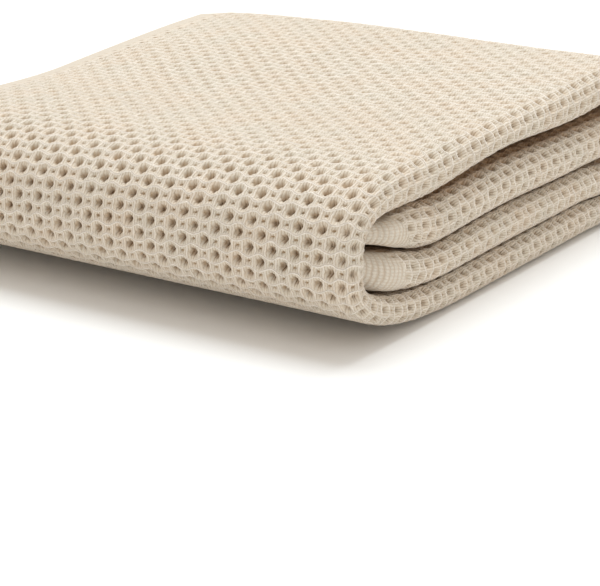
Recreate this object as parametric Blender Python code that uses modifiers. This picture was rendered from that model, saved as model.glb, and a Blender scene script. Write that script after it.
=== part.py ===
"""A honeycomb-weave cotton dish towel, folded and lying on a surface.

The cloth is one piece. It is folded in half along its length, which leaves a round fold
at +X and its two selvedges at -X. That doubled strip has both ends turned in to the
middle, at +Y, and is then folded in half around them, at -Y. So it lies in four doubled
layers: the outer fold at -Y joins the top layer to the bottom one, and the two inner
layers end inside it with the hems.

Lengths are in millimetres until a vertex is placed, and angles are in radians.
"""

import math

import bmesh
import bpy

MM = 0.001

# The folded towel
FOLD_X = 84.0  # outermost point of the lengthwise fold
HALF_CLOTH = 166.2  # half the cloth's width, round the lengthwise fold
PAD_WIDTH = HALF_CLOTH - 2.4  # the round fold takes up the rest
FRONT_Y = -82.6  # middle of the strip where the outer fold comes furthest forward
BACK_Y = 73.6  # where the two back folds begin to turn
BACK_SKEW = 4.8  # how much further back they lie on the selvedge side
EDGE_WANDER = 1.9  # how far one ply's selvedge passes the other's
WANDERS = 11.0  # how often they change places, as an angle
BOTTOM = "bottom"
LOWER = "lower inner"
UPPER = "upper inner"
TOP = "top"

# The cloth
PLY = 2.9  # thickness of the weave
PLY_GAP = 0.42  # least air between the two plies of a layer
LAYER_GAP = 0.48  # air between one layer and the next
PUFF = 4.9  # most that a ply lies off the middle of its layer

# Height of the folded stack
OPEN_HEIGHT = 40.8  # at the selvedges, in their front half
OPEN_SWELL = 2.9  # how much higher they stand right behind the outer fold
OPEN_SWELL_REACH = 54.0
BACK_HEIGHT = 48.7  # along the back folds
FRONT_DROP = 2.3  # how much lower the outer fold lies than the back
SIDE_RISE = 1.4  # how much the lengthwise fold stands above the back
SIDE_REACH = 48.0  # width of the swelling beside the lengthwise fold
FRONT_REACH = 132.0  # how far back the outer fold lowers the top
ACROSS_REACH = 72.0  # how quickly the front rises from the selvedges
EDGE_DROP = 2.6  # how much the selvedges lie below the cloth beside them
EDGE_REACH = 17.0
SHARE_REACH = 84.0  # from here to the lengthwise fold the layers differ in thickness
WAVE = 0.54  # soft unevenness of the pressed cloth
WAVE_X, WAVE_Y = 22.8, 32.4

# layer, share of the height at the lengthwise fold
LAYERS = (
    (BOTTOM, 0.21),
    (LOWER, 0.23),
    (UPPER, 0.355),
    (TOP, 0.205),
)

# The outer fold, from its top down to where the bottom layer lies flat
UPPER_RUN, UPPER_POWER = 28.8, 3.4  # depth and squareness of its upper half
LOWER_RUN, LOWER_POWER = 57.6, 2.42  # and of its lower half
UPPER_HEM_GAP = 11.3  # from the outer fold's middle to the end of each inner layer
LOWER_HEM_GAP = 10.1
HEM_SKEW = 10.8  # how much further in they end on the selvedge side
FRONT_THIN = 0.72  # how much the outer fold's own layer thins as it turns
HEM_PINCH = 0.25  # how much thinner a layer is at its hem
HEM_AIR = 0.36  # how much more air it has there, where it slopes
HEM_LIFT = 2.0  # how much the upper hem stands off the lower one at the fold
HEM_RUN = 16.8  # how far back from the hem these go
BACK_PINCH = 0.25  # how much thinner it is at the back folds
BACK_PINCH_RUN = 28.8
TURN_PINCH = 0.18  # how much thinner again half way round them

# How the mesh follows the strip, from the upper hem to the lower one
UPPER_BACK_FOLD = "upper back fold"
LOWER_BACK_FOLD = "lower back fold"
FOLD_UPPER_HALF = "outer fold, upper half"
FOLD_LOWER_HALF = "outer fold, lower half"
# run, steps
RUNS = (
    (UPPER, 11),
    (UPPER_BACK_FOLD, 9),
    (TOP, 11),
    (FOLD_UPPER_HALF, 8),
    (FOLD_LOWER_HALF, 9),
    (BOTTOM, 9),
    (LOWER_BACK_FOLD, 9),
    (LOWER, 11),
)
ACROSS = (0.0, 0.05, 0.12, 0.21, 0.33, 0.48, 0.65, 0.83, 1.0)  # fold to selvedge
ROUND_STEPS = 8  # round the lengthwise fold
FACE_HALVINGS = 16  # how closely the outer fold's inner face is followed


def ease(t):
    """0 below t = 0, 1 above t = 1, smooth between."""
    t = min(max(t, 0.0), 1.0)
    return t * t * (3.0 - 2.0 * t)


def bell(distance, reach):
    return math.exp(-((distance / reach) ** 2))


def stack_height(x, y):
    """Height of the towel's top face above what it lies on."""
    from_edge = x - FOLD_X + PAD_WIDTH
    from_front = y - FRONT_Y - UPPER_RUN
    front = 1.0 - ease(from_front / FRONT_REACH)
    across = 1.0 - math.exp(-from_edge / ACROSS_REACH)
    side = bell(FOLD_X - x, SIDE_REACH)
    rise = front * ((OPEN_HEIGHT - BACK_HEIGHT) * (1.0 - across) - FRONT_DROP * across)
    rise += (1.0 - front) * SIDE_RISE * side
    rise += OPEN_SWELL * (1.0 - across) * (1.0 - ease(from_front / OPEN_SWELL_REACH))
    drop = EDGE_DROP * math.exp(-from_edge / EDGE_REACH)
    wave = WAVE * math.sin(x / WAVE_X + 1.66) * math.sin(y / WAVE_Y - 0.98)
    return BACK_HEIGHT + rise - drop + wave


def near_fold(x):
    """1 at the lengthwise fold, 0 where the layers become alike."""
    return ease(1.0 - (FOLD_X - x) / SHARE_REACH)


def share(layer, x):
    """A layer's share of the height: even at the selvedges, uneven at the fold."""
    even = 1.0 / len(LAYERS)
    return even + (dict(LAYERS)[layer] - even) * near_fold(x)


def puff_in(room, pinch):
    """How far each ply lies off its layer's middle, in a layer of this thickness."""
    puff = (room - PLY) / 2.0 * (1.0 - pinch)
    return min(max(puff, (PLY + PLY_GAP) / 2.0), PUFF)


def back_pinch(x, y):
    return BACK_PINCH * ease(1.0 - (back_y(x) - y) / BACK_PINCH_RUN)


def outer_layer(layer, x, y):
    """Middle height and puff of the top or the bottom layer. The bottom lies flat."""
    height = stack_height(x, y)
    puff = puff_in(height * share(layer, x) - LAYER_GAP, back_pinch(x, y))
    half = puff + PLY / 2.0
    return (height - half if layer == TOP else half), puff


def fold_shape(x, upper):
    """The outer fold's upper or lower half: its depth, squareness, middle height,
    signed height of the strip's middle above that, and its puff in front and at the end."""
    top, top_puff = outer_layer(TOP, x, FRONT_Y + UPPER_RUN)
    bottom, bottom_puff = outer_layer(BOTTOM, x, FRONT_Y + LOWER_RUN)
    middle = (top + bottom) / 2.0
    front_puff = max((top_puff + bottom_puff) / 2.0 * FRONT_THIN, (PLY + PLY_GAP) / 2.0)
    if upper:
        return UPPER_RUN, UPPER_POWER, middle, top - middle, front_puff, top_puff
    return LOWER_RUN, LOWER_POWER, middle, bottom - middle, front_puff, bottom_puff


def fold_quarter(shape, turn):
    """A point of the outer fold's half, at an angle from its front, on a squarish
    quarter round: its place along Y, its height and its puff."""
    run, power, middle, reach, front_puff, end_puff = shape
    y = FRONT_Y + run * (1.0 - max(math.cos(turn), 0.0) ** (2.0 / power))
    z = middle + reach * math.sin(turn) ** (2.0 / power)
    return y, z, front_puff + (end_puff - front_puff) * (1.0 - math.cos(turn))


def fold_inside(shape, turn):
    """The point of the outer fold's inner face that belongs to such an angle."""
    run, power, _, reach, _, _ = shape
    y, z, puff = fold_quarter(shape, turn)
    slope = 2.0 - 2.0 / power
    inward_y = max(math.cos(turn), 0.0) ** slope / run
    inward_z = -(math.sin(turn) ** slope) / reach
    off = (puff + PLY / 2.0) / math.hypot(inward_y, inward_z)
    return y + off * inward_y, z + off * inward_z


def inside_face(x, y, upper):
    """Height of the face that the inner layers meet, above or below them."""
    shape = fold_shape(x, upper)
    if y >= FRONT_Y + shape[0]:
        height, puff = outer_layer(TOP if upper else BOTTOM, x, y)
        off = puff + PLY / 2.0
        return height - off if upper else height + off
    low, high = 0.0, math.pi / 2.0
    for _ in range(FACE_HALVINGS):
        turn = (low + high) / 2.0
        if fold_inside(shape, turn)[0] < y:
            low = turn
        else:
            high = turn
    return fold_inside(shape, high)[1]


def inner_layer(layer, x, y):
    """Middle height and puff of one of the two layers inside the outer fold. Each lies
    on the one below it, and has its air above it."""
    near_hem = ease(1.0 - (y - hem_y(layer, x)) / HEM_RUN)
    air = LAYER_GAP + HEM_AIR * near_hem
    low = inside_face(x, y, False) + air
    high = inside_face(x, y, True) - air
    lower_part = share(LOWER, x) / (share(LOWER, x) + share(UPPER, x))
    between = low + (high - low) * lower_part
    if layer == LOWER:
        high = between - LAYER_GAP / 2.0
    else:
        low = between + LAYER_GAP / 2.0 + HEM_LIFT * near_hem * near_fold(x)
    puff = puff_in(high - low, back_pinch(x, y) + HEM_PINCH * near_hem)
    return low + puff + PLY / 2.0, puff


def layer_at(layer, x, y):
    """Middle height and puff of a layer."""
    return (outer_layer if layer in (TOP, BOTTOM) else inner_layer)(layer, x, y)


def selvedge_share(x):
    """0 at the lengthwise fold, 1 at the selvedges."""
    return (FOLD_X - x) / PAD_WIDTH


def back_y(x):
    """Where the back folds begin, a little askew."""
    return BACK_Y + BACK_SKEW * (selvedge_share(x) - 0.5)


def hem_y(layer, x):
    """Where a hem ends inside the outer fold, a little askew."""
    gap = UPPER_HEM_GAP if layer == UPPER else LOWER_HEM_GAP
    return FRONT_Y + gap + HEM_SKEW * selvedge_share(x)


def flat_run(layer, x, start, end, t):
    """A point of a layer: its place along Y, its height and its puff."""
    y = start + (end - start) * t
    return y, *layer_at(layer, x, y)


def back_fold(lower, upper, x, t):
    """A point of the half circle that joins two layers at the back, going up."""
    y = back_y(x)
    low, low_puff = layer_at(lower, x, y)
    high, high_puff = layer_at(upper, x, y)
    radius = (high - low) / 2.0
    angle = math.pi * (t - 0.5)
    puff = low_puff + (high_puff - low_puff) * t
    puff = max(puff * (1.0 - TURN_PINCH * math.cos(angle)), (PLY + PLY_GAP) / 2.0)
    return y + radius * math.cos(angle), low + radius * (1.0 + math.sin(angle)), puff


def strip_point(run, x, t):
    """A point on the middle of the doubled strip, at t from 0 to 1 along one run."""
    back = back_y(x)
    if run == UPPER:
        return flat_run(UPPER, x, hem_y(UPPER, x), back, t)
    if run == UPPER_BACK_FOLD:
        return back_fold(UPPER, TOP, x, t)
    if run == TOP:
        return flat_run(TOP, x, back, FRONT_Y + UPPER_RUN, t)
    if run == FOLD_UPPER_HALF:
        return fold_quarter(fold_shape(x, True), math.pi / 2.0 * (1.0 - t))
    if run == FOLD_LOWER_HALF:
        return fold_quarter(fold_shape(x, False), math.pi / 2.0 * t)
    if run == BOTTOM:
        return flat_run(BOTTOM, x, FRONT_Y + LOWER_RUN, back, t)
    if run == LOWER_BACK_FOLD:
        return back_fold(BOTTOM, LOWER, x, t)
    return flat_run(LOWER, x, back, hem_y(LOWER, x), t)


def strip_rows():
    """The run and the place in it of every mesh row along the strip."""
    rows = [(RUNS[0][0], 0.0)]
    for run, steps in RUNS:
        rows += [(run, step / steps) for step in range(1, steps + 1)]
    return rows


def station(rows, row, x):
    """A mesh row's place on the strip's middle at x, with the outward normal."""
    y, z, puff = strip_point(rows[row][0], x, rows[row][1])
    along_y, along_z = 0.0, 0.0
    for side in (-1, 1):
        if 0 <= row + side < len(rows):
            beside = strip_point(rows[row + side][0], x, rows[row + side][1])
            length = side * math.dist(beside[:2], (y, z))
            along_y += (beside[0] - y) / length
            along_z += (beside[1] - z) / length
    size = math.hypot(along_y, along_z)
    return y, z, puff, along_z / size, -along_y / size


def section_columns():
    """Across the cloth: which ply, how far towards the selvedge, angle round the fold."""
    flat = [(out, math.pi / 2.0) for out in ACROSS]
    turn = [(0.0, math.pi * (step / ROUND_STEPS - 0.5)) for step in range(1, ROUND_STEPS)]
    return [(out, -angle) for out, angle in reversed(flat)] + turn + flat


def cloth_point(rows, row, out, angle):
    """A point of the folded cloth: its mesh row, its share of the way out to the
    selvedge, and its angle round the lengthwise fold."""
    fold = station(rows, row, FOLD_X)
    fold_puff = fold[2]
    centre_x = FOLD_X - PLY / 2.0 - fold_puff
    wander = EDGE_WANDER * math.sin(angle) * math.sin(WANDERS * row / len(rows))
    x = centre_x - out * (HALF_CLOTH - math.pi / 2.0 * fold_puff + wander)
    y, z, puff, out_y, out_z = fold if out == 0.0 else station(rows, row, x)
    off = puff * math.sin(angle)
    return x + fold_puff * math.cos(angle), y + off * out_y, z + off * out_z


def folded_cloth():
    """The towel as a flat grid, every vertex of it moved to its place in the folds."""
    columns = section_columns()
    rows = strip_rows()
    last_column = len(columns) - 1
    last_row = len(rows) - 1
    mesh = bmesh.new()
    bmesh.ops.create_grid(mesh, x_segments=last_column, y_segments=last_row, size=1.0)
    for vertex in mesh.verts:
        out, angle = columns[round((vertex.co.x + 1.0) / 2.0 * last_column)]
        row = round((vertex.co.y + 1.0) / 2.0 * last_row)
        vertex.co = cloth_point(rows, row, out, angle)
    return mesh


def centred(mesh):
    """Move the cloth so that its box is centred on the origin, and scale it to metres."""
    lows = [min(vertex.co[axis] for vertex in mesh.verts) for axis in range(2)]
    highs = [max(vertex.co[axis] for vertex in mesh.verts) for axis in range(2)]
    shift = (-(lows[0] + highs[0]) / 2.0, -(lows[1] + highs[1]) / 2.0, 0.0)
    bmesh.ops.translate(mesh, verts=mesh.verts, vec=shift)
    bmesh.ops.scale(mesh, verts=mesh.verts, vec=(MM, MM, MM))


def cotton_material():
    material = bpy.data.materials.new("unbleached cotton")
    material.use_nodes = True
    shader = material.node_tree.nodes["Principled BSDF"]
    shader.inputs["Base Color"].default_value = (0.80, 0.72, 0.60, 1.0)
    shader.inputs["Roughness"].default_value = 0.95
    shader.inputs["Metallic"].default_value = 0.0
    return material


def add_towel(collection):
    mesh = folded_cloth()
    centred(mesh)
    data = bpy.data.meshes.new("towel")
    mesh.to_mesh(data)
    mesh.free()
    data.materials.append(cotton_material())
    data.shade_smooth()
    towel = bpy.data.objects.new("towel", data)
    collection.objects.link(towel)
    thickness = towel.modifiers.new("thickness of the cloth", "SOLIDIFY")
    thickness.thickness = PLY * MM
    thickness.offset = 0.0
    thickness.use_even_offset = True


for item in list(bpy.data.objects):
    bpy.data.objects.remove(item)
dish_towel = bpy.data.collections.new("dish towel")
bpy.context.scene.collection.children.link(dish_towel)
add_towel(dish_towel)
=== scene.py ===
"""A honeycomb-weave dish towel, folded and lying on a pale floor.

It is one cloth. It is folded in half along its length, its two ends are turned in to the
middle, and it is folded in half again around them. Lengths are in millimetres until a
mesh is finished, and angles are in radians.
"""

import math

import bmesh
import bpy
import numpy as np
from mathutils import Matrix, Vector


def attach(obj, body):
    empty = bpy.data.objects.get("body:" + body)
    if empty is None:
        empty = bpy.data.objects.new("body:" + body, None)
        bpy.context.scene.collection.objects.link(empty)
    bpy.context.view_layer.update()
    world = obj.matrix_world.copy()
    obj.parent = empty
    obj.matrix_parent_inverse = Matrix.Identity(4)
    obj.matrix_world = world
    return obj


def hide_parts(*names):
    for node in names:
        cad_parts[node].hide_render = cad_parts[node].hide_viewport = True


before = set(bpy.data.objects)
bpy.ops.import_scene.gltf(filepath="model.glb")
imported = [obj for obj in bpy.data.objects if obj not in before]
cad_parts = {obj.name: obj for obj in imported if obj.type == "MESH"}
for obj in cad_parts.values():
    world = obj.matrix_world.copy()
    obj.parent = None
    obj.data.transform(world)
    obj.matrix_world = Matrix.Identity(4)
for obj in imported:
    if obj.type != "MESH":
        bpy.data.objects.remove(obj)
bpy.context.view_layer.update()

MM = 0.001

# ---------------------------------------------------------------------------------------
# The folds. The real cloth is a cotton panel of 33 x 69 cm, pressed into a pad by hand.
# Its lengthwise fold is at +X, its selvedges are at -X, and the doubled strip between
# them runs from the upper hem round the pad to the lower hem.

FOLD_X = 84.0  # outermost point of the lengthwise fold
HALF_CLOTH = 166.2  # half the cloth's width, round the lengthwise fold
PAD_WIDTH = HALF_CLOTH - 2.4  # the round fold takes up the rest
FRONT_Y = -82.6  # middle of the strip where the outer fold comes furthest forward
BACK_Y = 73.6  # where the two back folds begin to turn
BACK_SKEW = 4.8  # how much further back they lie on the selvedge side
EDGE_WANDER = 1.9  # how far one ply's selvedge passes the other's
WANDERS = 11.0  # how often they change places, as an angle
PLY = 2.9  # thickness of the weave
PLY_GAP = 0.42  # least air between the two plies of a layer
LAYER_GAP = 0.48  # air between one layer and the next
PUFF = 4.9  # most that a ply lies off the middle of its layer
LEAST_PUFF = (PLY + PLY_GAP) / 2.0

OPEN_HEIGHT = 40.8  # of the pad at the selvedges, in their front half
OPEN_SWELL = 2.9  # how much higher they stand right behind the outer fold
OPEN_SWELL_REACH = 54.0
BACK_HEIGHT = 48.7  # along the back folds
FRONT_DROP = 2.3  # how much lower the outer fold lies than the back
SIDE_RISE = 1.4  # how much the lengthwise fold stands above the back
SIDE_REACH = 48.0  # width of the swelling beside the lengthwise fold
FRONT_REACH = 132.0  # how far back the outer fold lowers the top
ACROSS_REACH = 72.0  # how quickly the front rises from the selvedges
EDGE_DROP = 2.6  # how much the selvedges lie below the cloth beside them
EDGE_REACH = 17.0
SHARE_REACH = 84.0  # from here to the lengthwise fold the layers differ in thickness
WAVE = 0.54  # soft unevenness of the pressed cloth
WAVE_X, WAVE_Y = 22.8, 32.4
WAVE_START_X, WAVE_START_Y = 1.66, -0.98

UPPER_RUN, UPPER_POWER = 28.8, 3.4  # depth and squareness of the outer fold's upper half
LOWER_RUN, LOWER_POWER = 57.6, 2.42  # and of its lower half
UPPER_HEM_GAP = 11.3  # from the outer fold's middle to the end of each inner layer
LOWER_HEM_GAP = 10.1
HEM_SKEW = 10.8  # how much further in they end on the selvedge side
FRONT_THIN = 0.72  # how much the outer fold's own layer thins as it turns
HEM_PINCH = 0.12  # how much thinner a layer is at its hem
HEM_AIR = 0.36  # how much more air it has there, where it slopes
HEM_LIFT = 0.5  # how much the upper hem stands off the lower one at the fold
LOWER_PLUMP = 4.2  # how much thicker the lower hem is there, at the upper one's cost
LOWER_PLUMP_RUN = 32.0
HEM_RUN = 16.8  # how far back from the hem these go
HEM_EXTRA = 5.2  # how much further forward the cloth's soft edge reaches
HEM_RECESS, HEM_RECESS_RUN = 4.6, 13.0  # how far its side draws back behind the outer fold
HEM_TOUCH = 1.5  # the last of each layer, where its two plies touch
HEM_CLOSE = 3.2  # and the length in which they come together before it
TOP_SAG, TOP_SAG_Y = 1.8, -50.0  # how far the top layer sags behind the hems at the fold
TOP_SAG_BEFORE, TOP_SAG_BEHIND = 15.0, 28.0  # its reach to both sides
BACK_SAG, BACK_SAG_REACH = 1.5, 50.0  # and how the layer thickens towards the back
BACK_SAG_Y = -10.0  # from here
BACK_PINCH = 0.25  # how much thinner it is at the back folds
BACK_PINCH_RUN = 28.8
TURN_PINCH = 0.18  # how much thinner again half way round them
FACE_HALVINGS = 16  # how closely the outer fold's inner face is followed

BOTTOM, LOWER, UPPER, TOP = "bottom", "lower inner", "upper inner", "top"
SHARES = {BOTTOM: 0.21, LOWER: 0.23, UPPER: 0.355, TOP: 0.205}  # of the height, at the fold


def ease(t):
    """0 below t = 0, 1 above t = 1, smooth between."""
    t = np.clip(t, 0.0, 1.0)
    return t * t * (3.0 - 2.0 * t)


def stack_height(x, y):
    """Height of the towel's top face above what it lies on."""
    from_edge = x - FOLD_X + PAD_WIDTH
    from_front = y - FRONT_Y - UPPER_RUN
    front = 1.0 - ease(from_front / FRONT_REACH)
    across = 1.0 - np.exp(-from_edge / ACROSS_REACH)
    side = np.exp(-(((FOLD_X - x) / SIDE_REACH) ** 2))
    rise = front * ((OPEN_HEIGHT - BACK_HEIGHT) * (1.0 - across) - FRONT_DROP * across)
    rise = rise + (1.0 - front) * SIDE_RISE * side
    rise = rise + OPEN_SWELL * (1.0 - across) * (1.0 - ease(from_front / OPEN_SWELL_REACH))
    drop = EDGE_DROP * np.exp(-from_edge / EDGE_REACH)
    wave = np.sin(x / WAVE_X + WAVE_START_X) * np.sin(y / WAVE_Y + WAVE_START_Y)
    return BACK_HEIGHT + rise - drop + WAVE * wave


def near_fold(x):
    """1 at the lengthwise fold, 0 where the layers become alike."""
    return ease(1.0 - (FOLD_X - x) / SHARE_REACH)


def share(layer, x):
    """A layer's share of the height: even at the selvedges, uneven at the fold."""
    even = 1.0 / len(SHARES)
    return even + (SHARES[layer] - even) * near_fold(x)


def puff_in(room, pinch):
    """How far each ply lies off its layer's middle, in a layer of this thickness."""
    return np.clip((room - PLY) / 2.0 * (1.0 - pinch), LEAST_PUFF, PUFF)


def selvedge_share(x):
    """0 at the lengthwise fold, 1 at the selvedges."""
    return (FOLD_X - x) / PAD_WIDTH


def back_y(x):
    """Where the back folds begin, a little askew."""
    return BACK_Y + BACK_SKEW * (selvedge_share(x) - 0.5)


def hem_y(layer, x):
    """Where a hem ends inside the outer fold, a little askew."""
    gap = UPPER_HEM_GAP if layer == UPPER else LOWER_HEM_GAP
    return FRONT_Y + gap + HEM_SKEW * selvedge_share(x)


def back_pinch(x, y):
    """How much thinner a layer is towards the back folds."""
    return BACK_PINCH * ease(1.0 - (back_y(x) - y) / BACK_PINCH_RUN)


def top_sag(x, y):
    """How much further apart the top layer's plies are beside the lengthwise fold."""
    reach = np.where(y < TOP_SAG_Y, TOP_SAG_BEFORE, TOP_SAG_BEHIND)
    front = TOP_SAG * np.exp(-(((y - TOP_SAG_Y) / reach) ** 2))
    back = BACK_SAG * ease((y - BACK_SAG_Y) / BACK_SAG_REACH)
    return (front + back) * near_fold(x)


def outer_layer(layer, x, y):
    """Middle height and puff of the top or the bottom layer. The bottom lies flat."""
    height = stack_height(x, y)
    puff = puff_in(height * share(layer, x) - LAYER_GAP, back_pinch(x, y))
    if layer == TOP:
        puff = np.minimum(puff + top_sag(x, y), PUFF)
    half = puff + PLY / 2.0
    return (height - half if layer == TOP else half), puff


def fold_shape(x, upper):
    """The outer fold's upper or lower half: its depth, squareness, middle height,
    signed height of the strip's middle above that, and its puff in front and at the end."""
    top, top_puff = outer_layer(TOP, x, FRONT_Y + UPPER_RUN)
    bottom, bottom_puff = outer_layer(BOTTOM, x, FRONT_Y + LOWER_RUN)
    middle = (top + bottom) / 2.0
    thin_puff = top_puff - top_sag(x, FRONT_Y + UPPER_RUN)
    front_puff = np.maximum((thin_puff + bottom_puff) / 2.0 * FRONT_THIN, LEAST_PUFF)
    if upper:
        return UPPER_RUN, UPPER_POWER, middle, top - middle, front_puff, top_puff
    return LOWER_RUN, LOWER_POWER, middle, bottom - middle, front_puff, bottom_puff


def fold_quarter(shape, turn):
    """A point of the outer fold's half, at an angle from its front, on a squarish
    quarter round: its place along Y, its height and its puff."""
    run, power, middle, reach, front_puff, end_puff = shape
    cosine = np.maximum(np.cos(turn), 0.0)
    y = FRONT_Y + run * (1.0 - cosine ** (2.0 / power))
    z = middle + reach * np.sin(turn) ** (2.0 / power)
    return y, z, front_puff + (end_puff - front_puff) * (1.0 - np.cos(turn))


def fold_inside(shape, turn):
    """The point of the outer fold's inner face that belongs to such an angle."""
    run, power, _, reach, _, _ = shape
    y, z, puff = fold_quarter(shape, turn)
    slope = 2.0 - 2.0 / power
    inward_y = np.maximum(np.cos(turn), 0.0) ** slope / run
    inward_z = -(np.sin(turn) ** slope) / reach
    off = (puff + PLY / 2.0) / np.hypot(inward_y, inward_z)
    return y + off * inward_y, z + off * inward_z


def inside_face(x, y, upper):
    """Height of the face that the inner layers meet, above or below them."""
    height, puff = outer_layer(TOP if upper else BOTTOM, x, y)
    off = puff + PLY / 2.0
    flat = height - off if upper else height + off
    shape = fold_shape(x, upper)
    low = np.zeros(np.broadcast(x, y).shape)
    high = low + math.pi / 2.0
    for _ in range(FACE_HALVINGS):
        turn = (low + high) / 2.0
        before = fold_inside(shape, turn)[0] < y
        low = np.where(before, turn, low)
        high = np.where(before, high, turn)
    return np.where(y >= FRONT_Y + shape[0], flat, fold_inside(shape, high)[1])


def inner_layer(layer, x, y):
    """Middle height and puff of one of the two layers inside the outer fold."""
    near_hem = ease(1.0 - (y - hem_y(layer, x)) / HEM_RUN)
    air = LAYER_GAP + HEM_AIR * near_hem
    low = inside_face(x, y, False) + air
    high = inside_face(x, y, True) - air
    lower_part = share(LOWER, x) / (share(LOWER, x) + share(UPPER, x))
    plump = LOWER_PLUMP * ease(1.0 - (y - hem_y(layer, x)) / LOWER_PLUMP_RUN) * near_fold(x)
    between = low + (high - low) * lower_part + plump
    if layer == LOWER:
        high = between - LAYER_GAP / 2.0
    else:
        low = between + LAYER_GAP / 2.0 + HEM_LIFT * near_hem * near_fold(x)
    puff = puff_in(high - low, back_pinch(x, y) + HEM_PINCH * near_hem)
    return low + puff + PLY / 2.0, puff


def layer_at(layer, x, y):
    """Middle height and puff of a layer."""
    return (outer_layer if layer in (TOP, BOTTOM) else inner_layer)(layer, x, y)


def flat_run(layer, x, start, end, t):
    """Points of a layer: their places along Y, their heights and puffs."""
    y = start + (end - start) * t
    return y, *layer_at(layer, x, y)


def back_fold(lower, upper, x, t):
    """Points of the half circle that joins two layers at the back, going up."""
    y = back_y(x)
    low, low_puff = layer_at(lower, x, y)
    high, high_puff = layer_at(upper, x, y)
    radius = (high - low) / 2.0
    angle = math.pi * (t - 0.5)
    puff = low_puff + (high_puff - low_puff) * t
    puff = np.maximum(puff * (1.0 - TURN_PINCH * np.cos(angle)), LEAST_PUFF)
    return y + radius * np.cos(angle), low + radius * (1.0 + np.sin(angle)), puff


# The runs of the strip from the upper hem to the lower one: how many steps long each is,
# and its points at x and at t from 0 to 1
RUNS = (
    (11, lambda x, t: flat_run(UPPER, x, hem_y(UPPER, x) - HEM_EXTRA, back_y(x), t)),
    (9, lambda x, t: back_fold(UPPER, TOP, x, t)),
    (11, lambda x, t: flat_run(TOP, x, back_y(x), FRONT_Y + UPPER_RUN, t)),
    (8, lambda x, t: fold_quarter(fold_shape(x, True), math.pi / 2.0 * (1.0 - t))),
    (9, lambda x, t: fold_quarter(fold_shape(x, False), math.pi / 2.0 * t)),
    (9, lambda x, t: flat_run(BOTTOM, x, FRONT_Y + LOWER_RUN, back_y(x), t)),
    (9, lambda x, t: back_fold(BOTTOM, LOWER, x, t)),
    (11, lambda x, t: flat_run(LOWER, x, back_y(x), hem_y(LOWER, x) - HEM_EXTRA, t)),
)
FRONT_RUN = 4  # this run starts at the outer fold's front
FINER = 9  # points for each step of a run
FIRST_STATION = -90.0  # of the lines along which the strip is followed, beyond the selvedges
STATION_STEP = 2.0  # between them
TABLE_STEP = 0.5  # and between the points that are kept on each

stations = np.arange(FIRST_STATION, FOLD_X + STATION_STEP, STATION_STEP)


def followed_strip():
    """The strip's middle at each station, evenly spaced along the cloth's outer face:
    place along Y, height, puff, outward normal and share of the wandering. The distance
    is 0 at the outer fold's front and grows towards the lower hem."""
    parts = []
    for number, (steps, points) in enumerate(RUNS):
        t = np.arange(0 if number == 0 else 1, steps * FINER + 1)[:, None] / (steps * FINER)
        run = np.broadcast_arrays(*points(stations[None, :], t))
        parts.append(np.stack(run, axis=-1))
    front = sum(len(part) for part in parts[:FRONT_RUN]) - 1
    path = np.concatenate(parts)
    along = np.gradient(path[..., :2], axis=0)
    along /= np.linalg.norm(along, axis=-1, keepdims=True)
    normal = np.stack([along[..., 1], -along[..., 0]], axis=-1)
    outer_face = path[..., :2] + normal * (path[..., 2:] + PLY / 2.0)
    step = np.linalg.norm(np.diff(outer_face, axis=0), axis=-1)
    reached = np.concatenate([np.zeros((1, len(stations))), np.cumsum(step, axis=0)])
    reached -= reached[front]
    upper_end, lower_end = -reached[0].mean(), reached[-1].mean()
    wander = np.linspace(0.0, 1.0, len(path))[:, None] * np.ones(len(stations))
    kept = np.concatenate([path, normal, wander[..., None]], axis=-1)
    places = np.arange(-upper_end, lower_end + TABLE_STEP, TABLE_STEP)
    table = np.empty((len(places), len(stations), kept.shape[-1]))
    for column in range(len(stations)):
        line = reached[:, column]
        line = np.where(line < 0.0, line * upper_end / -line[0], line * lower_end / line[-1])
        for value in range(kept.shape[-1]):
            table[:, column, value] = np.interp(places, line, kept[:, column, value])
    return table, upper_end, lower_end


strip, UPPER_END, LOWER_END = followed_strip()


def on_strip(x, v):
    """What followed_strip says at x and at a distance v along the cloth."""
    column = np.clip((x - stations[0]) / STATION_STEP, 0.0, len(stations) - 1.001)
    row = np.clip((v + UPPER_END) / TABLE_STEP, 0.0, len(strip) - 1.001)
    column, row = np.broadcast_arrays(column, row)
    left, low = column.astype(int), row.astype(int)
    across, along = (column - left)[..., None], (row - low)[..., None]
    near = strip[low, left] * (1.0 - across) + strip[low, left + 1] * across
    far = strip[low + 1, left] * (1.0 - across) + strip[low + 1, left + 1] * across
    return np.moveaxis(near * (1.0 - along) + far * along, -1, 0)


ROUND_BLEND = 0.05  # share of the way out in which the lengthwise fold's shape ends
CLOSED_PUFF = 1.3  # how far the plies lie off the layer's middle where they touch
SELVEDGE = HALF_CLOTH + math.pi / 4.0 * PLY  # distance to it along the cloth's outer face


def from_hem(v):
    """Distance to the nearer hem."""
    return np.minimum(v + UPPER_END, LOWER_END - v)


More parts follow.
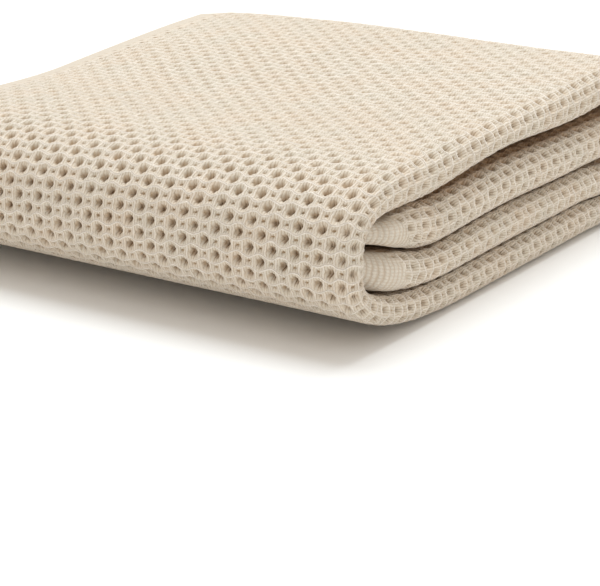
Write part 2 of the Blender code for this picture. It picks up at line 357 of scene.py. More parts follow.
def cloth_middle(w, v):
    """The middle of the cloth's thickness, at a distance w from the lengthwise fold
    (negative on the ply that lies inside) and v from the outer fold's front."""
    closed = np.clip(1.0 - (from_hem(v) - HEM_TOUCH) / HEM_CLOSE, 0.0, 1.0)
    open_share = np.sqrt(1.0 - closed ** 2)
    _, _, fold_puff, _, _, wander = on_strip(FOLD_X, v)
    fold_puff = CLOSED_PUFF + (fold_puff - CLOSED_PUFF) * open_share
    radius = fold_puff + PLY / 2.0
    angle = np.clip(w / radius, -math.pi / 2.0, math.pi / 2.0)
    flat = HALF_CLOTH - math.pi / 2.0 * fold_puff
    out = np.maximum(abs(w) - math.pi / 2.0 * radius, 0.0) / flat
    recess = HEM_RECESS * (1.0 - ease(from_hem(v) / HEM_RECESS_RUN))
    centre_x = FOLD_X - radius - recess * (1.0 - np.clip(out, 0.0, 1.0))
    x = centre_x - out * (flat + EDGE_WANDER * np.sin(angle) * np.sin(WANDERS * wander))
    shape_x = x + radius * (1.0 - ease(out / ROUND_BLEND))
    y, z, puff, out_y, out_z, _ = on_strip(shape_x, v)
    off = (CLOSED_PUFF + (puff - CLOSED_PUFF) * open_share) * np.sin(angle)
    return np.stack([x + fold_puff * np.cos(angle), y + off * out_y, z + off * out_z], -1)


NEAR = 0.2  # between the points from which the cloth's slope is found


def cloth_normal(w, v):
    """The direction from the cloth's middle to its outer face."""
    across = cloth_middle(w + NEAR, v) - cloth_middle(w - NEAR, v)
    along = cloth_middle(w, v + NEAR) - cloth_middle(w, v - NEAR)
    normal = np.cross(across, along)
    return normal / np.maximum(np.linalg.norm(normal, axis=-1, keepdims=True), 1e-9)


CENTRING = np.array([1.015, 0.175, 0.0])  # brings the middle of the towel's box to 0, 0

# ---------------------------------------------------------------------------------------
# The weave. Honeycomb cotton: floats of yarn stand up round sunk cells, whose rows are
# set half a cell apart. The hems and selvedges are woven plain, thinner and ribbed.

CELL = 7.05  # from one cell to the next in a row
ROW = 3.62  # from one row of cells to the next
CELL_SHIFT = -0.339  # where the first cell lies, in cells
ROW_SHIFT = 0.536  # and the first row, in rows
SLANT = 0.065  # how far a row climbs for each mm across, as the cloth is folded askew
SLANT_FADE = 50.0  # from a hem, which follows the fold again
FLOAT_SWING = 0.62  # how far the floats bend round the cells
FLOAT_HEIGHT = 0.4  # how far they stand above the ground of the weave
CELL_DEPTH = 1.8
CELL_TIP = 0.55  # how much deeper a cell is on the side of the lower hem
DOT_DEPTH = 0.7
WALL_HEIGHT = 0.2  # of the yarns at both sides of a cell
STRETCH, STRETCH_REACH = 0.4, 11.0  # how much shallower cells are round the lengthwise fold

# One cosine runs across the cells, 1 in the middle of a cell and -1 halfway to the next.
# The other is 1 along the middle of a row and 0 along the floats. These are on their scales.
CELL_ACROSS, CELL_ALONG = 0.65, 0.3  # half the width and the length of a cell
DOT_ACROSS, DOT_ALONG = 0.16, 0.28  # and of the dot between two cells
CELL_RIM, DOT_RIM = 1.15, 1.1  # where they begin to sink, as a share of that
RIM_RUN = 0.9  # the share in which they sink
WALL_PLACE, WALL_REACH = -0.17, 0.3  # where the yarns beside a cell stand
FLOAT_REACH = 0.5  # how far the floats reach into a row

SELVEDGE_PLY = 1.8  # thickness of the plain weave at the selvedges
HEM_PLY = 2.5  # and at the hems, which are turned in once
RIB = 1.6  # from one rib of it to the next
RIB_HEIGHT = 0.22
RIB_SWAY, RIB_SWAY_RUN = 0.4, 1.9  # how a rib waves along its length
RIB_SWAY_SHIFT = 5.0  # and how the wave shifts from rib to rib
RIBLESS, RIBLESS_EDGE = 3.0, 4.0  # the hem's end, where the ribs are pressed flat
UPPER_BAND, LOWER_BAND = 16.2, 16.2  # width of the plain weave at each hem
BAND_LEAN = 5.4  # how much wider it is below the lengthwise fold, and narrower above
BAND_LEAN_RUN = 7.0
SELVEDGE_BAND = 6.2
BAND_EDGE = 2.2  # in which the weaves change
WANDER_ALONG, WANDER_ACROSS = 0.5, 0.45  # how far the rows and columns stray
SHORT_WAVES = 0.6  # the shorter waves of that, beside the longer ones
INNER_LENGTH = 150.0  # length of each inner layer, from its hem
CREVICE = 6.0  # from the lengthwise fold to where a layer turns into the crevice beside it
CREVICE_END = 24.0  # and to where the crevice closes

# Where vertices stand in a cell and in a row of cells, as shares of their size
CELL_LINES, ROW_LINES = 18, 9
FINE_CELL = [line / CELL_LINES for line in range(CELL_LINES)]
FINE_ROW = [line / ROW_LINES for line in range(ROW_LINES)]


def plain_half(v):
    """Half the thickness of the plain weave."""
    hem = ease((UPPER_BAND + BAND_LEAN - from_hem(v)) / BAND_EDGE)
    return (SELVEDGE_PLY + (HEM_PLY - SELVEDGE_PLY) * hem) / 2.0


def weave_phase(w, v):
    """Where a place is in the repeat of the weave, as angles across and along it."""
    return 2.0 * math.pi * (w / CELL + CELL_SHIFT), math.pi * (v / ROW + ROW_SHIFT)


def weave_height(w, v, plain):
    """Height of the cloth's face above the middle of its thickness."""
    across, along = weave_phase(w, v)
    centre = np.cos(across) * np.where(np.cos(along) < 0.0, -1.0, 1.0)
    line = abs(np.cos(along))
    ground = ease(line / FLOAT_REACH)
    tip = np.sin(along) * np.sign(np.cos(along))
    from_cell = (1.0 - centre) / CELL_ACROSS + (1.0 - line) / CELL_ALONG
    cell = ease((CELL_RIM - from_cell) / RIM_RUN) * (1.0 + CELL_TIP * tip)
    cell = cell * (1.0 - STRETCH * np.exp(-((w / STRETCH_REACH) ** 2)))
    from_dot = (1.0 + centre) / DOT_ACROSS + (1.0 - line) / DOT_ALONG
    dot = ease((DOT_RIM - from_dot) / RIM_RUN)
    wall = np.exp(-(((centre - WALL_PLACE) / WALL_REACH) ** 2)) * ground
    woven = PLY / 2.0 - FLOAT_HEIGHT * ground + WALL_HEIGHT * wall
    woven = woven - CELL_DEPTH * cell - DOT_DEPTH * dot
    ribbed = ease((from_hem(v) - RIBLESS) / RIBLESS_EDGE)
    swayed = v + RIB_SWAY * np.sin(w / RIB_SWAY_RUN + v / RIB_SWAY_SHIFT)
    rib = plain_half(v) + RIB_HEIGHT * (abs(np.cos(math.pi * swayed / RIB)) - 1.0) * ribbed
    return woven + (rib - woven) * plain


def float_swing(w, v, plain):
    """How far the weave bends along the cloth at a place, round its cells."""
    across, along = weave_phase(w, v)
    return FLOAT_SWING * np.cos(across) * np.sin(along) * (1.0 - plain)


def plainness(w, v):
    """1 in the plain weave at the hems and selvedges, 0 in the honeycomb."""
    lean = BAND_LEAN * np.tanh(w / BAND_LEAN_RUN)
    band = np.where(v < 0.0, UPPER_BAND + lean, LOWER_BAND - lean)
    beside = np.minimum(SELVEDGE - abs(w) - SELVEDGE_BAND, from_hem(v) - band)
    return 1.0 - ease(beside / BAND_EDGE)


def slanted(w, v):
    """How far along the folds a row lies at w from where it lies at the lengthwise fold."""
    return SLANT * w * ease(from_hem(v) / SLANT_FADE)


def stray(w, v):
    """How far the hand-folded cloth's threads stray across and along it, in waves that
    are 7 to 27 cm long."""
    across = np.sin(v / 31.0 + 0.6) * np.cos(w / 43.0)
    across = across + SHORT_WAVES * np.sin(v / 13.0 + w / 37.0)
    along = np.sin(w / 23.0 + 1.7) * np.cos(v / 37.0)
    along = along + SHORT_WAVES * np.sin(w / 11.0 - v / 29.0)
    whole = 1.0 + SHORT_WAVES
    return WANDER_ACROSS * across / whole, WANDER_ALONG * along / whole


def painted_crevice_mask(w, v):
    """1 where shade is painted into the crevices beside the lengthwise fold, 0 elsewhere."""
    crevice = (w < 0.0) | (from_hem(v) < INNER_LENGTH)
    closed = ease((abs(w) - CREVICE_END) / CREVICE_END)
    return ease((abs(w) - CREVICE) / CREVICE) * (1.0 - closed) * crevice


RIM_TURNS = (1.0, 0.78, 0.6, 0.42, 0.22, 0.0)  # half turns round an edge of the cloth
TUCKED = (7.0, 3.0)  # how far the cloth's inner face is followed in from an edge


def rim(end, ply):
    """Lines round an edge of the cloth, from its inner face to its outer one: the
    distance along the cloth, and the share of the thickness on which the line lies."""
    lines = [(end + tuck, -1.0) for tuck in TUCKED]
    for half_turn in RIM_TURNS:
        turn = math.pi * half_turn
        lines.append((end + ply / 2.0 * (1.0 - math.sin(turn)), math.cos(turn)))
    return lines


def turned_round(lines):
    """The same lines at the cloth's opposite edge."""
    return [(-line, share_of_ply) for line, share_of_ply in reversed(lines)]


def spread(start, end, step):
    """Lines a step apart between two places, without the places themselves."""
    count = max(int(math.ceil(abs(end - start) / step)), 1)
    return [(start + (end - start) * i / count, 1.0) for i in range(1, count)]


def repeated(start, end, size, shift, places):
    """Lines at the same places of every repeat of the weave between start and end."""
    first, last = math.floor(start / size + shift) - 1, math.ceil(end / size + shift) + 1
    lines = [(repeat + place - shift) * size for repeat in range(first, last) for place in places]
    return [(line, 1.0) for line in lines if start <= line <= end]


# ---------------------------------------------------------------------------------------
# Unbleached cotton. Soft-spun cream yarn, woven and washed, with no gloss and a faint
# unevenness of tint. Painted highlight brightens the floats, and painted shade darkens the
# cells with the bare ground yarns in them, the dots, the gaps between threads and the
# crevices beside the lengthwise fold. The plain weave at the edges is a little cooler.

YARN = "#DFD3C1"
YARN_WARM = "#E1D0BC"
YARN_COOL = "#DBD4C5"
# painted highlight on the floats and the yarns beside the cells, and the sheen's tint
FLOAT_HIGHLIGHT_AND_SHEEN_TINT = "#EDE4D8"
# painted shade in the cells, the dots and the gaps between threads
PAINTED_CELL_AND_GAP_SHADE = "#B89B78"
# the deepest painted shade, at one side of each cell
CELL_SHADE = "#75573A"
PAINTED_CREVICE_SHADE = "#B58F68"  # painted shade, warm brown, in the crevices beside the lengthwise fold
PLAIN_YARN = "#DCD3C5"
GROUND_THREAD = 0.80  # from one ground yarn to the next
FLOAT_THREAD = 0.60
PEARL = 0.95  # and from one pearl of a rib to the next
TINT_PATCH = 16.0  # size of the patches of tint
TINT_RANGE = (0.35, 0.65)  # the values of their noise that give the two tints
TINT_SHARE = 0.5
UNEVEN_PATCH = 2.0  # size of the yarn's unevenness
UNEVEN_PLACE = (1.1, 1.1, 0.0)  # how far it moves the colours
UNEVEN_CELL = 0.4  # and how much it changes the size of a cell
LINT_RATES = (2.4, 1.3, 1.0)  # of the fibres on the yarn, which lie along the cloth
LINT_RANGE = (0.3, 0.7)
LINT_SHADE = (0.91, 1.05)

# Where the painted shade and highlight change, on the scales of the relief: half the width
# and the length of a cell's and of a dot's painted shade, and then where each colour begins
# and where it is full
SHADE_ACROSS, SHADE_ALONG = 0.6, 0.27
DOT_SHADE_ACROSS, DOT_SHADE_ALONG = 0.12, 0.2
CELL_FADE = (1.25, 0.45)
DEEP_FADE = (0.9, 0.0)
DOT_FADE = (1.2, 0.3)
CREST_FADE = (0.42, 0.12)
BAR_FADE = (0.42, 0.05)
GAP_FADE = (0.75, 0.0)
ROUND_FADE = (3.0, 15.0)  # from the lengthwise fold, where the cells' painted shade is fainter
CELL_TILT = (0.25, -0.7, 0.0)  # towards the side of a cell where the painted shade is deepest

# How much of each colour there is, most of them painted highlight and painted shade
ROUND_SHARE = 0.55
BAR_SHARE = 0.6
PEARL_SHARE = 0.65
GAP_SHARE = 0.5
DOT_SHARE = 1.6
SUNK_SHARE = 0.5
DARK_GAP, DARK_SHARE = 1.3, 0.35
# of the painted shade in the crevices
PAINTED_CREVICE_SHARE = 0.75

THREAD_BUMP = 0.00017  # height of the threads and fibres, which are too fine for the mesh
LINT_BUMP = 1.3  # and the fibres' share of it


def linear(hex_colour):
    """An sRGB colour as linear numbers."""
    parts = [int(hex_colour[i:i + 2], 16) / 255.0 for i in (1, 3, 5)]
    return [c / 12.92 if c <= 0.04045 else ((c + 0.055) / 1.055) ** 2.4 for c in parts] + [1.0]


def add_node(tree, kind, settings, inputs, output=0):
    """A node with its settings, and its inputs as values or as sockets to link."""
    node = tree.nodes.new(kind)
    for name, value in settings.items():
        setattr(node, name, value)
    for name, value in inputs.items():
        if isinstance(value, bpy.types.NodeSocket):
            tree.links.new(value, node.inputs[name])
        else:
            node.inputs[name].default_value = value
    return node.outputs[output]


def honeycomb_cotton():
    """The cloth's one material, which follows the relief of the mesh through its UVs."""
    material = bpy.data.materials.new("honeycomb cotton")
    material.use_nodes = True
    tree = material.node_tree
    shader = tree.nodes["Principled BSDF"]

    # Where a point is in its cell, as the mesh has it
    place = add_node(tree, "ShaderNodeUVMap", {"uv_map": "weave"}, {})
    plain = add_node(tree, "ShaderNodeAttribute", {"attribute_name": "plain"}, {}, 2)
    woven = add_node(tree, "ShaderNodeMath", {"operation": "SUBTRACT"}, {0: 1.0, 1: plain})
    uneven = add_node(tree, "ShaderNodeTexNoise", {},
                      {"Vector": place, "Scale": 1.0 / UNEVEN_PATCH, "Detail": 3.0})
    strayed = add_node(tree, "ShaderNodeVectorMath", {"operation": "SUBTRACT"},
                       {0: uneven.node.outputs["Color"], 1: (0.5, 0.5, 0.5)})
    near = add_node(tree, "ShaderNodeVectorMath", {"operation": "MULTIPLY_ADD"},
                    {0: strayed, 1: UNEVEN_PLACE, 2: place})
    rates = (2.0 * math.pi / CELL, math.pi / ROW, 0.0)
    shifts = (2.0 * math.pi * CELL_SHIFT, math.pi * ROW_SHIFT, 0.0)
    phase = add_node(tree, "ShaderNodeVectorMath", {"operation": "MULTIPLY_ADD"},
                     {0: near, 1: rates, 2: shifts})
    wave = add_node(tree, "ShaderNodeVectorMath", {"operation": "COSINE"}, {0: phase})
    across = add_node(tree, "ShaderNodeSeparateXYZ", {}, {0: wave}, "X")
    along = add_node(tree, "ShaderNodeSeparateXYZ", {}, {0: wave}, "Y")
    side = add_node(tree, "ShaderNodeMath", {"operation": "SIGN"}, {0: along})
    centre = add_node(tree, "ShaderNodeMath", {"operation": "MULTIPLY"}, {0: across, 1: side})
    line = add_node(tree, "ShaderNodeMath", {"operation": "ABSOLUTE"}, {0: along})
    wave = add_node(tree, "ShaderNodeVectorMath", {"operation": "SINE"}, {0: phase})
    wave = add_node(tree, "ShaderNodeVectorMath", {"operation": "SCALE"}, {0: wave, "Scale": side})
    # Masks of painted shade in the cells and dots, and of painted highlight on the floats and the
    # yarns beside the cells
    tip = add_node(tree, "ShaderNodeVectorMath", {"operation": "DOT_PRODUCT"},
                   {0: wave, 1: CELL_TILT}, "Value")
    reach = 1.0 / SHADE_ACROSS + 1.0 / SHADE_ALONG - UNEVEN_CELL / 2.0
    reach = add_node(tree, "ShaderNodeMath", {"operation": "MULTIPLY_ADD"},
                     {0: centre, 1: -1.0 / SHADE_ACROSS, 2: reach})
    reach = add_node(tree, "ShaderNodeMath", {"operation": "MULTIPLY_ADD"},
                     {0: line, 1: -1.0 / SHADE_ALONG, 2: reach})
    reach = add_node(tree, "ShaderNodeMath", {"operation": "MULTIPLY_ADD"},
                     {0: uneven, 1: UNEVEN_CELL, 2: reach})
    beside = add_node(tree, "ShaderNodeSeparateXYZ", {}, {0: place}, "X")
    beside = add_node(tree, "ShaderNodeMath", {"operation": "ABSOLUTE"}, {0: beside})
    flat = add_node(tree, "ShaderNodeMapRange", {"interpolation_type": "SMOOTHSTEP"},
                    {"Value": beside, "From Min": ROUND_FADE[0], "From Max": ROUND_FADE[1],
                     "To Min": ROUND_SHARE})
    flat = add_node(tree, "ShaderNodeMath", {"operation": "MULTIPLY"}, {0: flat, 1: woven})
    cell = add_node(tree, "ShaderNodeMapRange", {"interpolation_type": "SMOOTHSTEP"},
                    {"Value": reach, "From Min": CELL_FADE[0], "From Max": CELL_FADE[1],
                     "To Max": flat})
    deep = add_node(tree, "ShaderNodeMath", {"operation": "ADD"}, {0: reach, 1: tip})
    deep = add_node(tree, "ShaderNodeMapRange", {"interpolation_type": "SMOOTHSTEP"},
                    {"Value": deep, "From Min": DEEP_FADE[0], "From Max": DEEP_FADE[1],
                     "To Max": flat})
    dot_reach = 1.0 / DOT_SHADE_ACROSS + 1.0 / DOT_SHADE_ALONG
    dot_reach = add_node(tree, "ShaderNodeMath", {"operation": "MULTIPLY_ADD"},
                         {0: centre, 1: 1.0 / DOT_SHADE_ACROSS, 2: dot_reach})
    dot_reach = add_node(tree, "ShaderNodeMath", {"operation": "MULTIPLY_ADD"},
                         {0: line, 1: -1.0 / DOT_SHADE_ALONG, 2: dot_reach})
    dot = add_node(tree, "ShaderNodeMapRange", {"interpolation_type": "SMOOTHSTEP"},
                   {"Value": dot_reach, "From Min": DOT_FADE[0], "From Max": DOT_FADE[1],
                    "To Max": woven})
    crest = add_node(tree, "ShaderNodeMapRange", {"interpolation_type": "SMOOTHSTEP"},
                     {"Value": line, "From Min": CREST_FADE[0], "From Max": CREST_FADE[1],
                      "To Max": woven})
    bar = add_node(tree, "ShaderNodeMath", {"operation": "ADD"}, {0: centre, 1: -WALL_PLACE})
    bar = add_node(tree, "ShaderNodeMath", {"operation": "ABSOLUTE"}, {0: bar})
    bar = add_node(tree, "ShaderNodeMapRange", {"interpolation_type": "SMOOTHSTEP"},
                   {"Value": bar, "From Min": BAR_FADE[0], "From Max": BAR_FADE[1],
                    "To Max": woven})
    bar = add_node(tree, "ShaderNodeMath", {"operation": "MULTIPLY"}, {0: bar, 1: BAR_SHARE})
    # where highlight is painted: the floats, and the yarns beside the cells
    bright = add_node(tree, "ShaderNodeMath", {"operation": "MAXIMUM"}, {0: crest, 1: bar})

    # Threads: the ground yarns run along the cloth and the floats across it, and the
    # plain weave has ribs with a pearled face
    rates = (math.pi / GROUND_THREAD, math.pi / FLOAT_THREAD, 0.0)
    wave = add_node(tree, "ShaderNodeVectorMath", {"operation": "MULTIPLY"}, {0: near, 1: rates})
    wave = add_node(tree, "ShaderNodeVectorMath", {"operation": "COSINE"}, {0: wave})
    wave = add_node(tree, "ShaderNodeVectorMath", {"operation": "ABSOLUTE"}, {0: wave})
    ground = add_node(tree, "ShaderNodeSeparateXYZ", {}, {0: wave}, "X")
    floats = add_node(tree, "ShaderNodeSeparateXYZ", {}, {0: wave}, "Y")
    wave = add_node(tree, "ShaderNodeVectorMath", {"operation": "MULTIPLY"},
                    {0: near, 1: (math.pi / PEARL, math.pi / RIB, 0.0)})
    wave = add_node(tree, "ShaderNodeVectorMath", {"operation": "COSINE"}, {0: wave})
    wave = add_node(tree, "ShaderNodeVectorMath", {"operation": "ABSOLUTE"}, {0: wave})
    pearls = add_node(tree, "ShaderNodeSeparateXYZ", {}, {0: wave}, "X")
    ribs = add_node(tree, "ShaderNodeSeparateXYZ", {}, {0: wave}, "Y")
    pearls = add_node(tree, "ShaderNodeMath", {"operation": "MULTIPLY_ADD"},
                      {0: pearls, 1: PEARL_SHARE, 2: 1.0 - PEARL_SHARE})
    ribs = add_node(tree, "ShaderNodeMath", {"operation": "MULTIPLY"}, {0: pearls, 1: ribs})
    thread = add_node(tree, "ShaderNodeMix", {}, {0: crest, 2: ground, 3: floats}, 0)
    thread = add_node(tree, "ShaderNodeMix", {}, {0: plain, 2: thread, 3: ribs}, 0)
    fibre = add_node(tree, "ShaderNodeVectorMath", {"operation": "MULTIPLY"},
                     {0: place, 1: LINT_RATES})
    lint = add_node(tree, "ShaderNodeTexNoise", {},
                    {"Vector": fibre, "Scale": 1.0, "Detail": 3.0, "Roughness": 0.65})

    # Colour: the yarn's tints, then painted highlight and painted shade
    tint = add_node(tree, "ShaderNodeTexNoise", {},
                    {"Vector": place, "Scale": 1.0 / TINT_PATCH, "Detail": 2.0})
    tint = add_node(tree, "ShaderNodeMapRange", {},
                    {"Value": tint, "From Min": TINT_RANGE[0], "From Max": TINT_RANGE[1]})
    yarn = add_node(tree, "ShaderNodeMix", {"data_type": "RGBA"},
                    {0: tint, 6: linear(YARN_WARM), 7: linear(YARN_COOL)}, 2)
    yarn = add_node(tree, "ShaderNodeMix", {"data_type": "RGBA"},
                    {0: TINT_SHARE, 6: linear(YARN), 7: yarn}, 2)
    # painted highlight on the floats and the yarns beside the cells
    yarn = add_node(tree, "ShaderNodeMix", {"data_type": "RGBA"},
                    {0: bright, 6: yarn, 7: linear(FLOAT_HIGHLIGHT_AND_SHEEN_TINT)}, 2)
    yarn = add_node(tree, "ShaderNodeMix", {"data_type": "RGBA"},
                    {0: plain, 6: yarn, 7: linear(PLAIN_YARN)}, 2)
    # painted shade in the gaps between threads
    gap = add_node(tree, "ShaderNodeMapRange", {},
                   {"Value": thread, "From Min": GAP_FADE[0], "From Max": GAP_FADE[1],
                    "To Max": GAP_SHARE})
    yarn = add_node(tree, "ShaderNodeMix", {"data_type": "RGBA"},
                    {0: gap, 6: yarn, 7: linear(PAINTED_CELL_AND_GAP_SHADE)}, 2)
    # painted shade in the sunk cells and dots
    sunk = add_node(tree, "ShaderNodeMath", {"operation": "MULTIPLY"}, {0: dot, 1: DOT_SHARE})
    sunk = add_node(tree, "ShaderNodeMath", {"operation": "MAXIMUM"}, {0: cell, 1: sunk})
    sunk = add_node(tree, "ShaderNodeMath", {"operation": "MULTIPLY"}, {0: sunk, 1: SUNK_SHARE})
    yarn = add_node(tree, "ShaderNodeMix", {"data_type": "RGBA"},
                    {0: sunk, 6: yarn, 7: linear(PAINTED_CELL_AND_GAP_SHADE)}, 2)
    # the deepest painted shade, at one side of each cell and stronger in the gaps between threads
    dark = add_node(tree, "ShaderNodeMath", {"operation": "MULTIPLY_ADD"},
                    {0: gap, 1: DARK_GAP, 2: DARK_SHARE})
    dark = add_node(tree, "ShaderNodeMath", {"operation": "MULTIPLY"}, {0: deep, 1: dark})
    yarn = add_node(tree, "ShaderNodeMix", {"data_type": "RGBA"},
                    {0: dark, 6: yarn, 7: linear(CELL_SHADE)}, 2)
    # painted shade in the crevices beside the lengthwise fold
    folded = add_node(tree, "ShaderNodeAttribute", {"attribute_name": "folded"}, {}, 2)
    folded = add_node(tree, "ShaderNodeMath", {"operation": "MULTIPLY"},
                      {0: folded, 1: PAINTED_CREVICE_SHARE})
    yarn = add_node(tree, "ShaderNodeMix", {"data_type": "RGBA"},
                    {0: folded, 6: yarn, 7: linear(PAINTED_CREVICE_SHADE)}, 2)
    fluff = add_node(tree, "ShaderNodeMapRange", {},
                     {"Value": lint, "From Min": LINT_RANGE[0], "From Max": LINT_RANGE[1],
                      "To Min": LINT_SHADE[0], "To Max": LINT_SHADE[1]})
    yarn = add_node(tree, "ShaderNodeVectorMath", {"operation": "SCALE"}, {0: yarn, "Scale": fluff})
    tree.links.new(yarn, shader.inputs["Base Color"])

    # Threads and fibres in relief, and a dry, faintly fuzzy face
    relief = add_node(tree, "ShaderNodeMath", {"operation": "MULTIPLY_ADD"},
                      {0: lint, 1: LINT_BUMP, 2: thread})
    bump = add_node(tree, "ShaderNodeBump", {}, {"Height": relief, "Distance": THREAD_BUMP})
    tree.links.new(bump, shader.inputs["Normal"])
    shader.inputs["Roughness"].default_value = 0.95
    shader.inputs["Specular IOR Level"].default_value = 0.15
    shader.inputs["Sheen Weight"].default_value = 0.12
    shader.inputs["Sheen Roughness"].default_value = 0.6
    shader.inputs["Sheen Tint"].default_value = linear(FLOAT_HIGHLIGHT_AND_SHEEN_TINT)
    return material


cotton = honeycomb_cotton()

# ---------------------------------------------------------------------------------------
# The one cloth, in lengths that follow each other round the pad and share their end
# lines. The mesh is a flat grid that is laid on the folds, and it is as fine as the
# weave wherever the cloth shows.

# The rows of the weave at which one length of the mesh meets the next
UPPER_FOLD_ROW, BACK_ROW, TOP_ROW, FRONT_ROW, UNDER_ROW, LOWER_FOLD_ROW = -61, -44, -24, -5, 14, 57
RIB_LINES = 5  # for each rib of a hem
COARSE_CELL_LINES, COARSE_ROW_LINES = 8, 5  # on the underside
COARSE_CELL = [line / COARSE_CELL_LINES for line in range(COARSE_CELL_LINES)]
COARSE_ROW = [line / COARSE_ROW_LINES for line in range(COARSE_ROW_LINES)]
FOLD_SIDE = 16.5  # how far from the lengthwise fold a covered ply still shows
COVERED_STEP = 11.0  # between the lines where nothing shows
BAND_LINES = (2.6, 4.8, 6.7, 8.6, 10.5)  # along a selvedge's band, from its edge
BAND_END = BAND_LINES[-1] + 0.4  # where the lines of the weave take over


def columns(inside, outside, places):
    """Lines along the cloth, from the inner ply's selvedge to the outer ply's, fine from
    one distance inside the lengthwise fold to another outside it: distance from the fold,
    share of the thickness, and share of the weave's relief."""
    edge = rim(-SELVEDGE, SELVEDGE_PLY) + [(-SELVEDGE + line, 1.0) for line in BAND_LINES]
    fine = repeated(-inside, outside, CELL, CELL_SHIFT, places)
    last = turned_round(edge)
    lines = edge + spread(edge[-1][0], fine[0][0], COVERED_STEP) + fine
    lines = np.array(lines + spread(fine[-1][0], last[0][0], COVERED_STEP) + last)
    relief = (lines[:, 0] >= fine[0][0]) & (lines[:, 0] <= fine[-1][0])
    return lines[:, 0], lines[:, 1], relief.astype(float)


def laid_cloth(name, across, along):
    """A length of the cloth: a grid of these columns and rows, laid on the folds."""
    w, across_share, relief = (values[None, :] for values in across)
    v, along_share = (values[:, None] for values in along)
    plain = plainness(w, v)
    stray_w, stray_v = stray(w, v)
    shown = relief * (1.0 - plain)
    place_w = w + stray_w * shown
    place_v = v + slanted(w, v) + (stray_v + float_swing(w, v, plain)) * shown
    middle = cloth_middle(place_w, place_v)
    normal = cloth_normal(place_w, place_v)
    height = weave_height(w, v, plain)
    smooth = PLY / 2.0 - FLOAT_HEIGHT
    smooth = smooth + (plain_half(v) - smooth) * plain
    height = smooth + (height - smooth) * relief
    edge = np.minimum(across_share, along_share)
    points = (middle + CENTRING + normal * (height * edge)[..., None]) * MM
    # where shade is painted into the crevices beside the lengthwise fold
    folded = painted_crevice_mask(w, v)

    rows, lines = height.shape
    grid = bmesh.new()
    bmesh.ops.create_grid(grid, x_segments=lines - 1, y_segments=rows - 1, size=1.0)
    mesh = bpy.data.meshes.new(name)
    grid.to_mesh(mesh)
    grid.free()
    flat = np.empty(len(mesh.vertices) * 3)
    mesh.vertices.foreach_get("co", flat)
    flat = flat.reshape(-1, 3)
    column = np.rint((flat[:, 0] + 1.0) / 2.0 * (lines - 1)).astype(int)
    row = np.rint((flat[:, 1] + 1.0) / 2.0 * (rows - 1)).astype(int)
    mesh.vertices.foreach_set("co", points[row, column].ravel())
    mesh.attributes.new("plain", "FLOAT", "POINT").data.foreach_set("value", plain[row, column])
    # the painted crevice shade, kept for the material
    mesh.attributes.new("folded", "FLOAT", "POINT").data.foreach_set("value", folded[row, column])
    corner = np.empty(len(mesh.loops), dtype=int)
    mesh.loops.foreach_get("vertex_index", corner)
    places = np.stack([w[0, column[corner]], v[row[corner], 0]], axis=-1)
    mesh.uv_layers.new(name="weave").uv.foreach_set("vector", places.ravel())
    unit = np.stack([column[corner] / (lines - 1), row[corner] / (rows - 1)], axis=-1)
    mesh.uv_layers.new(name="OFBake").uv.foreach_set("vector", unit.ravel())
    mesh.materials.append(cotton)
    mesh.shade_smooth()
    mesh.update()
    piece = bpy.data.objects.new(name, mesh)
    bpy.context.scene.collection.objects.link(piece)
    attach(piece, "root")
    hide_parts("towel")
    return piece


def woven_rows(start, end, places=FINE_ROW):
    """Lines across the cloth between two of the weave's rows, which they include."""
    lines = [row + place for row in range(start, end) for place in places] + [end]
    return [((line - ROW_SHIFT) * ROW, 1.0) for line in lines]


def hem_rows(length, row):
    """Lines from a hem's end to the first of the weave's rows that is clear of it, on a
    cloth whose hem lies at this length before that row's zero."""
    edge = rim(-length, HEM_PLY)
    first = (row - ROW_SHIFT) * ROW
    return edge + spread(edge[-1][0], first, RIB / RIB_LINES)


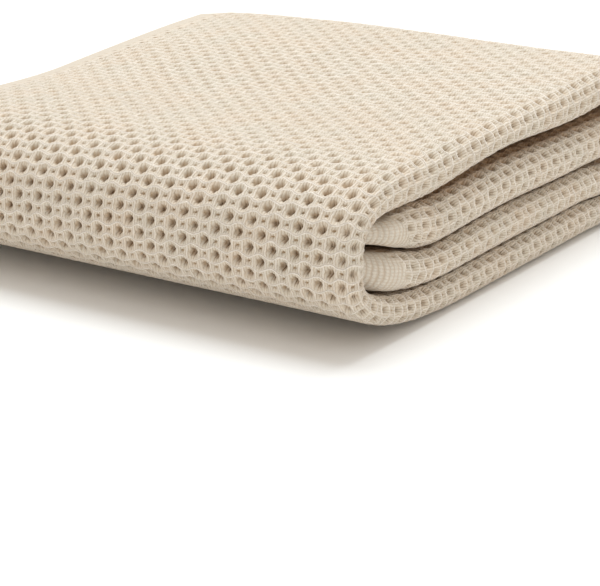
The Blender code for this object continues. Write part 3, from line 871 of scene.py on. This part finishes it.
upper_row = math.ceil((UPPER_BAND - BAND_LEAN - UPPER_END) / ROW + ROW_SHIFT)
lower_row = math.floor((LOWER_END - LOWER_BAND + BAND_LEAN) / ROW + ROW_SHIFT)
upper_hem = hem_rows(UPPER_END, upper_row)
lower_hem = turned_round(hem_rows(LOWER_END, -lower_row))
showing = columns(FOLD_SIDE, SELVEDGE - BAND_END, FINE_CELL)
beneath = columns(FOLD_SIDE, SELVEDGE - BAND_END, COARSE_CELL)
inside = columns(FOLD_SIDE, FOLD_SIDE, FINE_CELL)
LENGTHS = (
    ("towel_upper_end", inside, upper_hem + woven_rows(upper_row, UPPER_FOLD_ROW)),
    ("towel_back", showing, woven_rows(UPPER_FOLD_ROW, BACK_ROW)),
    ("towel_top_back", showing, woven_rows(BACK_ROW, TOP_ROW)),
    ("towel_top_front", showing, woven_rows(TOP_ROW, FRONT_ROW)),
    ("towel_front", showing, woven_rows(FRONT_ROW, UNDER_ROW)),
    ("towel_underside", beneath, woven_rows(UNDER_ROW, LOWER_FOLD_ROW, COARSE_ROW)),
    ("towel_lower_end", inside, woven_rows(LOWER_FOLD_ROW, lower_row) + lower_hem),
)
for name, across, along in LENGTHS:
    piece = laid_cloth(name, across, np.array(along).T)

# ---------------------------------------------------------------------------------------
# The floor: a plain matt surface, painted almost white, that the towel lies on. It is 8 m
# across, so that its edge is far behind the towel.

FLOOR_PAINT = "#F4F3F1"

floor_mesh = bpy.data.meshes.new("floor")
floor_grid = bmesh.new()
bmesh.ops.create_grid(floor_grid, x_segments=1, y_segments=1, size=4.0)
floor_grid.to_mesh(floor_mesh)
floor_grid.free()
floor_paint = bpy.data.materials.new("pale floor")
floor_paint.use_nodes = True
floor_shader = floor_paint.node_tree.nodes["Principled BSDF"]
floor_shader.inputs["Base Color"].default_value = linear(FLOOR_PAINT)
floor_shader.inputs["Roughness"].default_value = 0.8
floor_mesh.materials.append(floor_paint)
floor = bpy.data.objects.new("floor", floor_mesh)
bpy.context.scene.collection.objects.link(floor)

# ---------------------------------------------------------------------------------------
# The light of a white studio: warm and even from all sides, with one large, cooler lamp
# overhead and a little behind the towel. The camera stands near its open front corner.

LAMP_PLACE = (-0.05, 0.3, 1.46)

scene = bpy.context.scene
scene.view_settings.view_transform = "Standard"
world = bpy.data.worlds.new("studio")
world.use_nodes = True
background = world.node_tree.nodes["Background"]
background.inputs["Color"].default_value = (1.0, 0.965, 0.92, 1.0)
background.inputs["Strength"].default_value = 0.83
scene.world = world

light = bpy.data.lights.new("key light", "AREA")
light.shape = "SQUARE"
light.size = 0.8
light.energy = 15.7
light.color = (0.87, 0.94, 1.0)
lamp = bpy.data.objects.new("key light", light)
lamp.location = LAMP_PLACE
lamp.rotation_euler = (-Vector(LAMP_PLACE)).to_track_quat("-Z", "Y").to_euler()
scene.collection.objects.link(lamp)

camera_data = bpy.data.cameras.new("camera")
camera_data.lens = 124.98
camera_data.sensor_width = 36.0
camera = bpy.data.objects.new("camera", camera_data)
camera.location = (0.345343, -0.499645, 0.185676)
camera.rotation_euler = (math.radians(71.23), 0.0, math.radians(33.75))
scene.collection.objects.link(camera)
scene.camera = camera
